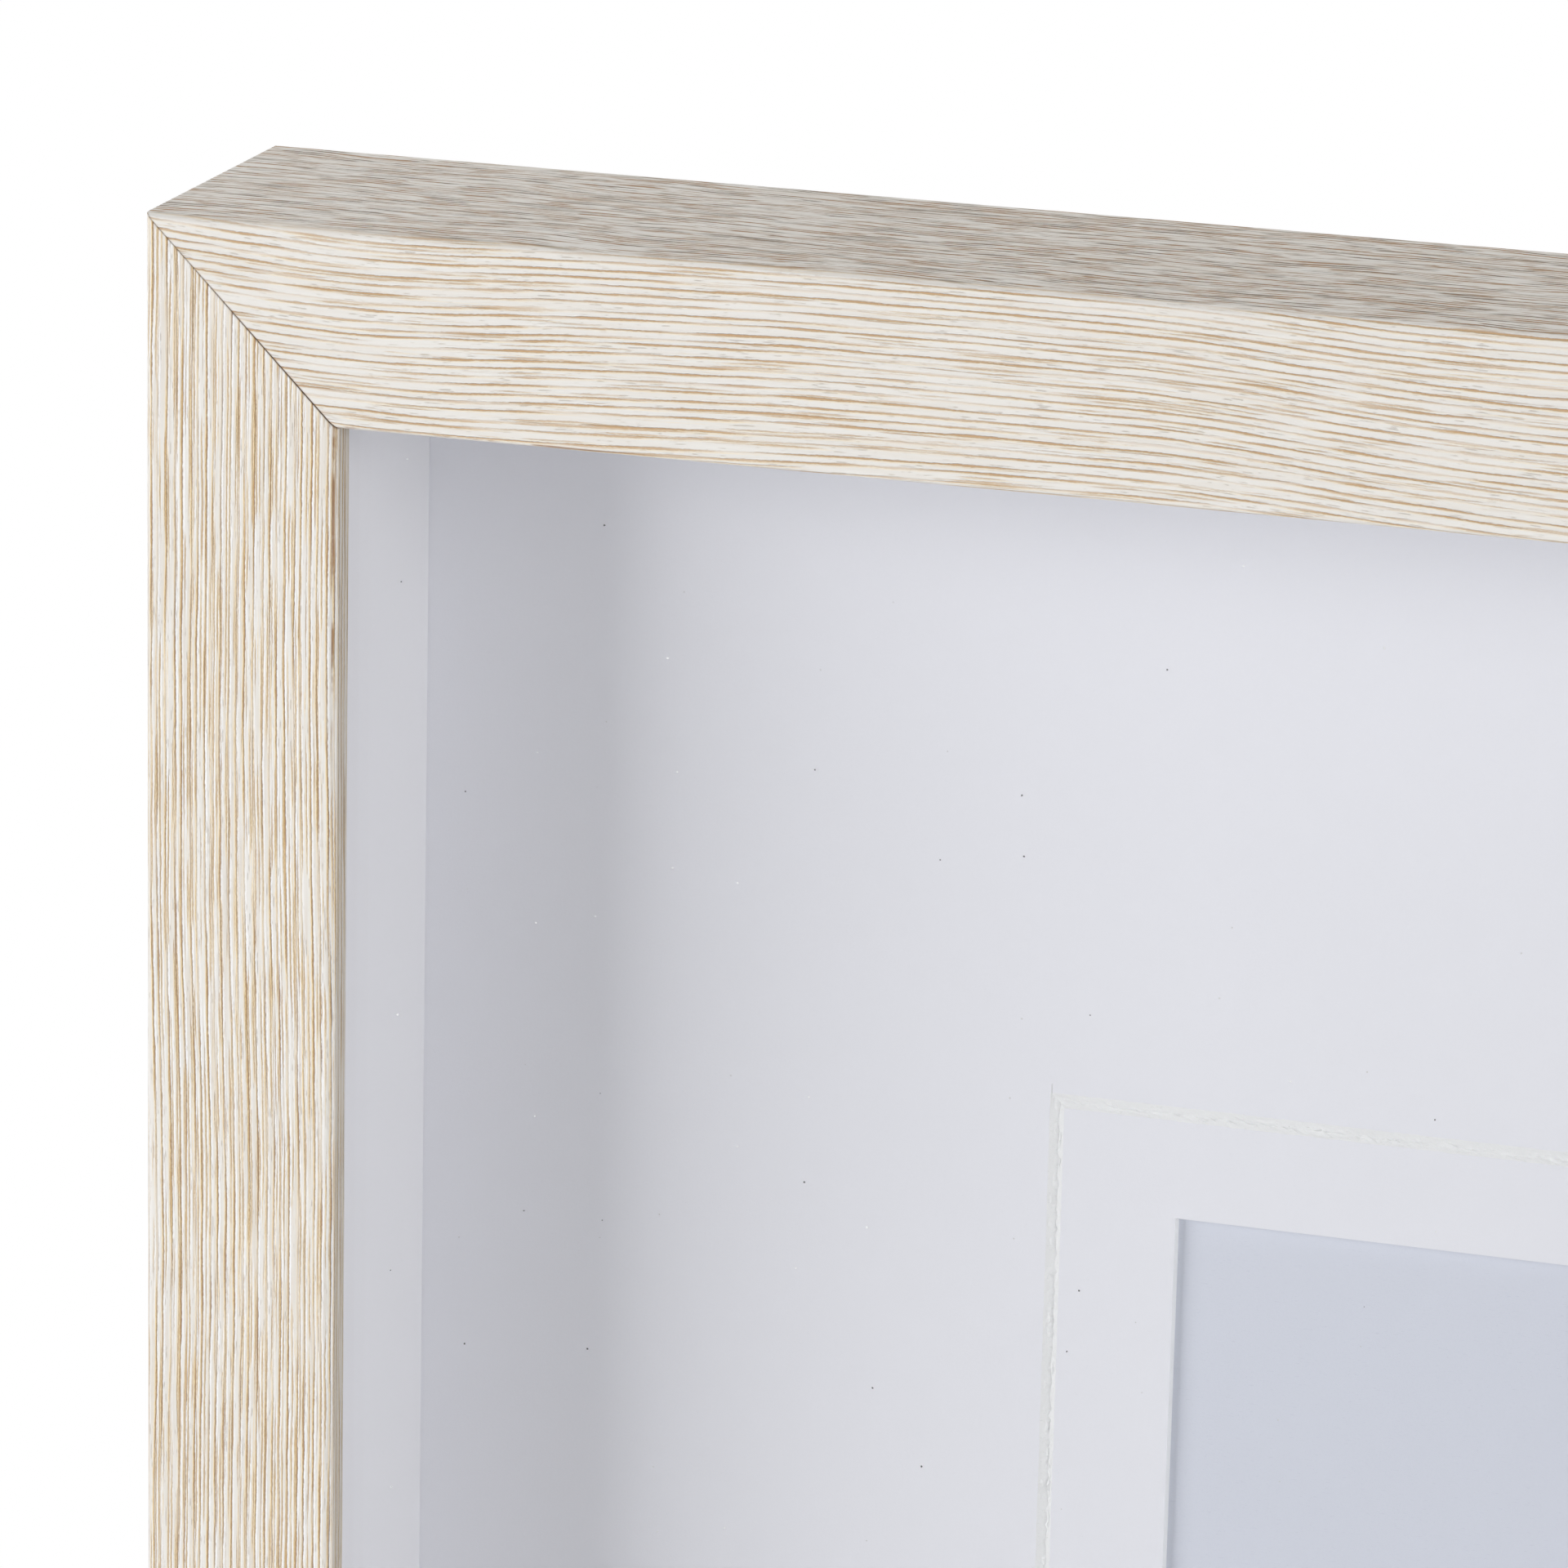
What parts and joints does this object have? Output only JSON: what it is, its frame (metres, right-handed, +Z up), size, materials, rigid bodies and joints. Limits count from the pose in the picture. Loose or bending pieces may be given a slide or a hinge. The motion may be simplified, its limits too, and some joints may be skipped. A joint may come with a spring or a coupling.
{
  "type": "shadow box frame",
  "caption": "Deep mitred shadow box frame with a glass front, spacers, a grooved window mat and a lift-out back held by turn buttons; it stands or hangs.",
  "frame": {"origin": "middle of the face that the frame stands on: mid width, mid moulding depth, bottom of the bottom rail", "axes": "+X to the right seen from the front, +Y from the front face to the back, +Z up"},
  "size_m": [0.438, 0.0476, 0.538],
  "materials": {
    "moulding": "matt white-washed wood-grain foil on fibreboard, raw brown fibreboard at the back and in the rebate",
    "glass": "clear flat float glass",
    "spacer": "matt white paper-covered board",
    "mat": "matt smooth white mat board with a cream-white core in the groove and cut edge",
    "insert": "blank pale blue-grey smooth paper",
    "board": "smooth dark-brown hardboard",
    "turn_button": "zinc-plated pressed steel, satin",
    "steel": "bright steel strip",
    "screws": "brass-plated, cross recess",
    "hanger": "brass-plated pressed steel",
    "rubber": "matt dark rubber"
  },
  "bodies": {
    "frame": {"top_rail": "moulding", "bottom_rail": "moulding", "left_stile": "moulding", "right_stile": "moulding", "v_nails": "steel", "glazing": "glass", "spacer_top": "spacer", "spacer_bottom": "spacer", "spacer_left": "spacer", "spacer_right": "spacer", "turn_button_screws": "screws", "hanger_top": "hanger", "hanger_side": "hanger", "hanger_nails": "hanger", "wall_bumpers": "rubber"},
    "back_stack": {"mat": "mat", "insert_sheet": "insert", "back_board": "board"},
    "turn_button_top_left": {"turn_button_top_left": "turn_button"},
    "turn_button_top_right": {"turn_button_top_right": "turn_button"},
    "turn_button_bottom_left": {"turn_button_bottom_left": "turn_button"},
    "turn_button_bottom_right": {"turn_button_bottom_right": "turn_button"},
    "turn_button_left_upper": {"turn_button_left_upper": "turn_button"},
    "turn_button_left_lower": {"turn_button_left_lower": "turn_button"},
    "turn_button_right_upper": {"turn_button_right_upper": "turn_button"},
    "turn_button_right_lower": {"turn_button_right_lower": "turn_button"}
  },
  "joints": [
    {"name": "back_slide", "type": "slide", "parent": "frame", "child": "back_stack", "axis": [0, 1, 0], "range_m": [0, 0.1]},
    {"name": "turn_top_left", "type": "hinge", "parent": "frame", "child": "turn_button_top_left", "pos_m": [-0.1, 0.0227, 0.5285], "axis": [0, -1, 0], "range_deg": [-90, 0]},
    {"name": "turn_top_right", "type": "hinge", "parent": "frame", "child": "turn_button_top_right", "pos_m": [0.1, 0.0227, 0.5285], "axis": [0, 1, 0], "range_deg": [-90, 0]},
    {"name": "turn_bottom_left", "type": "hinge", "parent": "frame", "child": "turn_button_bottom_left", "pos_m": [-0.1, 0.0227, 0.0095], "axis": [0, 1, 0], "range_deg": [-90, 0]},
    {"name": "turn_bottom_right", "type": "hinge", "parent": "frame", "child": "turn_button_bottom_right", "pos_m": [0.1, 0.0227, 0.0095], "axis": [0, -1, 0], "range_deg": [-90, 0]},
    {"name": "turn_left_upper", "type": "hinge", "parent": "frame", "child": "turn_button_left_upper", "pos_m": [-0.2095, 0.0227, 0.394], "axis": [0, 1, 0], "range_deg": [-90, 0]},
    {"name": "turn_left_lower", "type": "hinge", "parent": "frame", "child": "turn_button_left_lower", "pos_m": [-0.2095, 0.0227, 0.144], "axis": [0, 1, 0], "range_deg": [-90, 0]},
    {"name": "turn_right_upper", "type": "hinge", "parent": "frame", "child": "turn_button_right_upper", "pos_m": [0.2095, 0.0227, 0.394], "axis": [0, -1, 0], "range_deg": [-90, 0]},
    {"name": "turn_right_lower", "type": "hinge", "parent": "frame", "child": "turn_button_right_lower", "pos_m": [0.2095, 0.0227, 0.144], "axis": [0, -1, 0], "range_deg": [-90, 0]}
  ]
}
